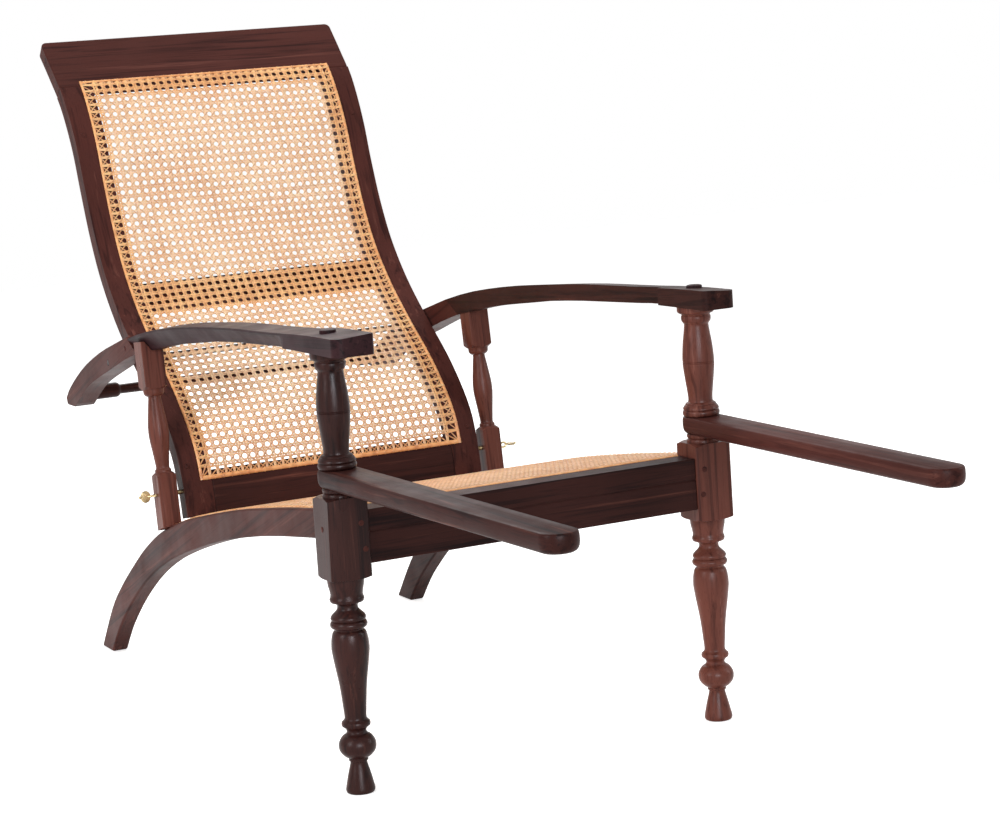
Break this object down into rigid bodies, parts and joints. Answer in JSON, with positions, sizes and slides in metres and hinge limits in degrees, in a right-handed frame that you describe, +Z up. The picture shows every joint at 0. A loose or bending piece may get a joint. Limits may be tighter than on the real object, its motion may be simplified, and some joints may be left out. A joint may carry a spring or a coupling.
{
  "type": "planters chair",
  "caption": "Reclining plantation armchair with turned legs, sweeping arms, woven cane seat and pivoting cane back, and two swing-out leg rests.",
  "frame": {"origin": "middle of the footprint on the floor", "axes": "+X to the sitter's left, +Y from the front to the back, +Z up"},
  "size_m": [0.6536, 1.8186, 1.0077],
  "materials": {
    "wood": "satin oiled and waxed rosewood",
    "red_wood": "satin reddish rosewood",
    "dark_wood": "dark rosewood, polished by hands",
    "cane": "six-way woven rattan cane with open holes, drawn as a plain sheet",
    "brass": "dull aged brass"
  },
  "bodies": {
    "frame": {"front_leg_left": "wood", "front_leg_right": "wood", "front_baluster_left": "wood", "front_baluster_right": "wood", "front_seat_rail": "wood", "rear_seat_rail": "wood", "side_rail_left": "wood", "side_rail_right": "wood", "seat_cane": "cane", "rear_post_left": "wood", "rear_post_right": "wood", "arm_board_left": "dark_wood", "arm_board_right": "dark_wood", "arm_tail_left": "red_wood", "arm_tail_right": "red_wood", "lower_rod": "dark_wood", "upper_rod": "wood", "rail_peg_1_left": "red_wood", "rail_peg_1_right": "red_wood", "rail_peg_2_left": "red_wood", "rail_peg_2_right": "red_wood", "side_peg_left": "red_wood", "side_peg_right": "red_wood", "arm_peg_left": "red_wood", "arm_peg_right": "red_wood"},
    "back": {"back_stile_left": "wood", "back_stile_right": "wood", "crest_rail": "wood", "back_bottom_rail": "wood", "back_slat": "wood", "back_cane": "cane", "stile_peg_1_left": "red_wood", "stile_peg_1_right": "red_wood", "stile_peg_2_left": "red_wood", "stile_peg_2_right": "red_wood"},
    "leg_rest_left": {"leg_rest_left": "wood"},
    "leg_rest_right": {"leg_rest_right": "wood"},
    "pin_left": {"brass_pin_left": "brass"},
    "pin_right": {"brass_pin_right": "brass"}
  },
  "joints": [
    {"name": "leg_rest_left_swing", "type": "hinge", "parent": "frame", "child": "leg_rest_left", "pos_m": [-0.277, -0.3067, 0.423], "axis": [0, 0, -1], "range_deg": [-20, 178]},
    {"name": "leg_rest_right_swing", "type": "hinge", "parent": "frame", "child": "leg_rest_right", "pos_m": [0.277, -0.3067, 0.423], "axis": [0, 0, 1], "range_deg": [-20, 176]},
    {"name": "back_recline", "type": "hinge", "parent": "frame", "child": "back", "pos_m": [0, 0.3843, 0.3077], "axis": [1, 0, 0], "range_deg": [0, 95]},
    {"name": "pin_left_pull", "type": "slide", "parent": "frame", "child": "pin_left", "axis": [-1, 0, 0], "range_m": [0, 0.03]},
    {"name": "pin_right_pull", "type": "slide", "parent": "frame", "child": "pin_right", "axis": [1, 0, 0], "range_m": [0, 0.03]}
  ]
}
